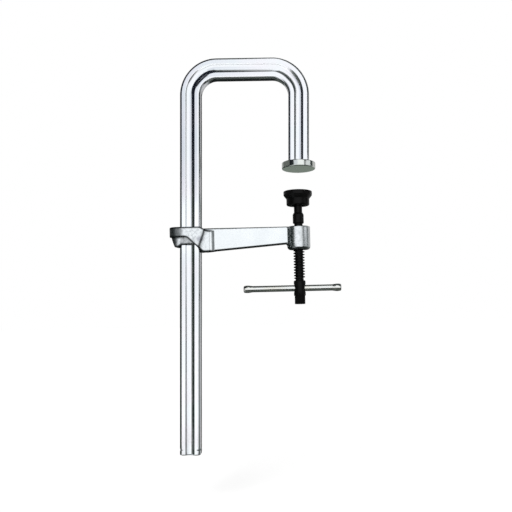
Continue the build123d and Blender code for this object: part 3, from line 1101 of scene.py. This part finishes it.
def by_height(tree, elevation, stops):
    """A light that changes with elevation, through stops in degrees."""
    share = put(
        tree, "ShaderNodeMapRange", {"Value": elevation, "From Min": -90.0, "From Max": 90.0}
    ).outputs["Result"]
    ramp = put(tree, "ShaderNodeValToRGB", {0: share})
    steps = ramp.color_ramp.elements
    while len(steps) < len(stops):
        steps.new(0.5)
    for step, (height, light) in zip(steps, stops):
        step.position = (height + 90) / 180
        step.color = (*light, 1)
    return ramp.outputs["Color"]


def look_angles(tree):
    """A direction's azimuth, from the front to the right, and its elevation, in degrees."""
    direction = put(tree, "ShaderNodeTexCoord").outputs["Generated"]
    x, y, z = put(tree, "ShaderNodeSeparateXYZ", {0: direction}).outputs
    turn = reckon(tree, "ARCTAN2", x, product(tree, y, -1.0))
    rise = reckon(tree, "ARCSINE", z)
    return product(tree, turn, 180 / pi), product(tree, rise, 180 / pi)


def card(tree, angles, sides, ends, soft=1.5):
    """How far a direction lies inside a card, given by its edges in degrees."""
    inside = None
    for angle, (low, high) in zip(angles, (sides, ends)):
        rise = between(tree, angle, 0, 1, low - soft, low + soft)
        fall = between(tree, angle, 1, 0, high - soft, high + soft)
        both = product(tree, rise, fall)
        inside = both if inside is None else product(tree, inside, both)
    return inside


def corner_cut(tree, angles, side, reach):
    """How far a direction lies inside a card's slanting upper corner."""
    azimuth, elevation = angles
    cut_height, slope, soft = 23.0, 0.8, 2.5
    slant = product(tree, total(tree, elevation, -cut_height), slope)
    outward = total(tree, product(tree, azimuth, float(side)), slant)
    return between(tree, outward, 1, 0, reach - soft, reach + soft)


def studio():
    """The world: white to the camera, even light, and the cards in reflections."""
    world = bpy.data.worlds.new("studio")
    bpy.context.scene.world = world
    world.use_nodes = True
    world.cycles.sampling_method = "NONE"
    tree = world.node_tree
    angles = look_angles(tree)
    azimuth, elevation = angles
    sideways = reckon(tree, "ABSOLUTE", azimuth)

    left_card = product(
        tree, card(tree, angles, (-32, 14), (-21.5, 76)), corner_cut(tree, angles, -1, 30)
    )
    right_card = product(
        tree, card(tree, angles, (-7, 40), (-21.5, 76), soft=4), corner_cut(tree, angles, 1, 36)
    )
    left_light = by_height(
        tree,
        elevation,
        (
            (-22, (1.28, 1.29, 1.30)),
            (-6, (1.14, 1.15, 1.17)),
            (9, (0.86, 0.88, 0.93)),
            (17, (0.78, 0.81, 0.88)),
            (24, (0.94, 0.98, 1.03)),
            (40, (0.96, 1.0, 1.05)),
        ),
    )
    side_light = by_height(
        tree,
        elevation,
        ((-6, (0.30, 0.32, 0.32)), (3, (0.24, 0.26, 0.26)), (12, (0.04, 0.05, 0.05))),
    )
    unlit = (0.01, 0.012, 0.012)
    seen_in_metal = (0.10, 0.115, 0.105)
    # where each light stands in the room, one over the other
    for share, light in (
        (card(tree, angles, (-150, -52), (-90, 90)), (0.02, 0.028, 0.025)),
        (card(tree, angles, (40, 175), (-20, 90), soft=5), side_light),
        (card(tree, angles, (-100, 100), (-42, -23)), (0.03, 0.03, 0.03)),
        (card(tree, angles, (-80, -20), (12, 80), soft=3), (0.01, 0.012, 0.02)),
        (between(tree, sideways, 0, 1, 161, 171), unlit),
        (card(tree, angles, (-165, -115), (5, 50)), (0.5, 0.5, 0.5)),
        (card(tree, angles, (112, 160), (-34, 50)), (0.6, 0.6, 0.6)),
        (card(tree, angles, (-72, -36), (-60, -22)), (0.75, 0.78, 0.80)),
        (left_card, left_light),
        (right_card, (1.10, 1.12, 1.14)),
        (card(tree, angles, (34.5, 60), (-34, -1), soft=3), unlit),
    ):
        seen_in_metal = blend(tree, share, seen_in_metal, light)
    rays = put(tree, "ShaderNodeLightPath").outputs
    even = blend(tree, rays["Is Glossy Ray"], (0.92, 0.92, 0.92), seen_in_metal)
    light = blend(tree, rays["Is Camera Ray"], even, (1.0, 1.0, 1.0))
    background = tree.nodes["Background"]
    tree.links.new(light, background.inputs["Color"])
    background.inputs["Strength"].default_value = 1.0


def soft_key():
    """A wide soft sun from the front and the upper left, which metal doesn't see."""
    lamp = bpy.data.lights.new("soft_key", "SUN")
    lamp.energy = 0.6
    lamp.angle = radians(30)
    key = bpy.data.objects.new("soft_key", lamp)
    key.rotation_euler = (radians(35), radians(-30), 0)
    key.visible_glossy = False
    bpy.context.scene.collection.objects.link(key)


def photo_camera():
    """The photograph's camera, turned so that the long leg stands upright in the picture."""
    picture_size = 512
    axis_column, axis_row = 300.85, 283.15
    distance = 706.6 * MM
    axis_x, axis_z = 3.2 * MM, -164 * MM
    lens = bpy.data.cameras.new("photo_camera")
    lens.lens = 34.5
    lens.sensor_width = 36
    lens.shift_x = -(axis_column - picture_size / 2) / picture_size
    lens.shift_y = (axis_row - picture_size / 2) / picture_size
    camera = bpy.data.objects.new("photo_camera", lens)
    bpy.context.scene.collection.objects.link(camera)
    across = Vector((cos(rail_lean), 0, -sin(rail_lean)))
    upward = Vector((sin(rail_lean), 0, cos(rail_lean)))
    aim = Vector((anvil_x, 0, 0)) + across * axis_x + upward * axis_z
    camera.location = aim - Vector((0, distance, 0))
    camera.rotation_euler = (pi / 2, rail_lean, 0)
    return camera


def reflector(name, corner_low, corner_high, light):
    """A thin card that only metal sees, given by two opposite corners."""
    middle = [(low + high) / 2 for low, high in zip(corner_low, corner_high)]
    size = [max(high - low, MM) for low, high in zip(corner_low, corner_high)]
    sheet = begin(bpy.ops.mesh.primitive_cube_add, name, size=1, location=tuple(middle))
    resize(tuple(size), middle)
    finish_editing(sheet)
    finish, tree, _shader = new_finish(name)
    glow = put(tree, "ShaderNodeEmission", {"Color": (*light, 1), "Strength": 1.0})
    tree.links.new(glow.outputs[0], tree.nodes["Material Output"].inputs["Surface"])
    finish.cycles.emission_sampling = "NONE"
    coat(sheet, finish)
    sheet.visible_camera = False
    sheet.visible_diffuse = False
    sheet.visible_shadow = False
    sheet.visible_transmission = False
    return sheet


def pale_floor():
    """The floor, just below the screw when the arm is down at the rail's foot."""
    gap = 6 * MM
    lowest_screw = spindle_low.z + arm_slide["range_m"][0]
    floor = begin(
        bpy.ops.mesh.primitive_plane_add,
        "floor",
        size=6,
        location=(0, 0, lowest_screw - gap),
    )
    bpy.ops.mesh.subdivide(number_cuts=1)
    finish_editing(floor)
    finish, tree, shader = new_finish("pale_floor")
    shader.inputs["Base Color"].default_value = (1.0, 1.0, 1.0, 1)
    shader.inputs["Roughness"].default_value = 0.9
    shader.inputs["Specular IOR Level"].default_value = 0.0
    # metal sees through it, to the studio below
    clear = put(tree, "ShaderNodeBsdfTransparent")
    rays = put(tree, "ShaderNodeLightPath").outputs
    choice = put(tree, "ShaderNodeMixShader", {0: rays["Is Glossy Ray"]})
    tree.links.new(shader.outputs[0], choice.inputs[1])
    tree.links.new(clear.outputs[0], choice.inputs[2])
    tree.links.new(choice.outputs[0], tree.nodes["Material Output"].inputs["Surface"])
    coat(floor, finish)
    return floor


# Cards close to the clamp: their names, two opposite corners in metres, and lights
CARDS = (
    ("bridge_card", (-0.26, -0.3, -0.10), (0.04, -0.3, 0.01), (1.2, 1.22, 1.24)),
    ("ramp_card", (0.25, -0.16, -0.09), (0.25, -0.02, 0.0), (0.9, 0.92, 0.95)),
    ("rim_card", (0.10, -0.10, 0.018), (0.10, -0.02, 0.036), (0.9, 0.92, 0.95)),
    ("rim_shade", (-0.09, -0.06, 0.014), (-0.09, 0.05, 0.036), (0.17, 0.18, 0.17)),
    ("anvil_card", (-0.07, 0.15, -0.065), (0.08, 0.15, -0.012), (0.23, 0.265, 0.235)),
    (
        "bar_shade",
        (bar_low.x - 0.01, -0.03, bar_middle.z - 0.0135),
        (bar_high.x + 0.01, -0.03, bar_middle.z - 0.0068),
        (0.03, 0.03, 0.03),
    ),
)

studio()
soft_key()
bpy.context.scene.camera = photo_camera()
bpy.context.scene.view_settings.view_transform = "Standard"
pale_floor()
for name, corner_low, corner_high, light in CARDS:
    reflector(name, corner_low, corner_high, light)
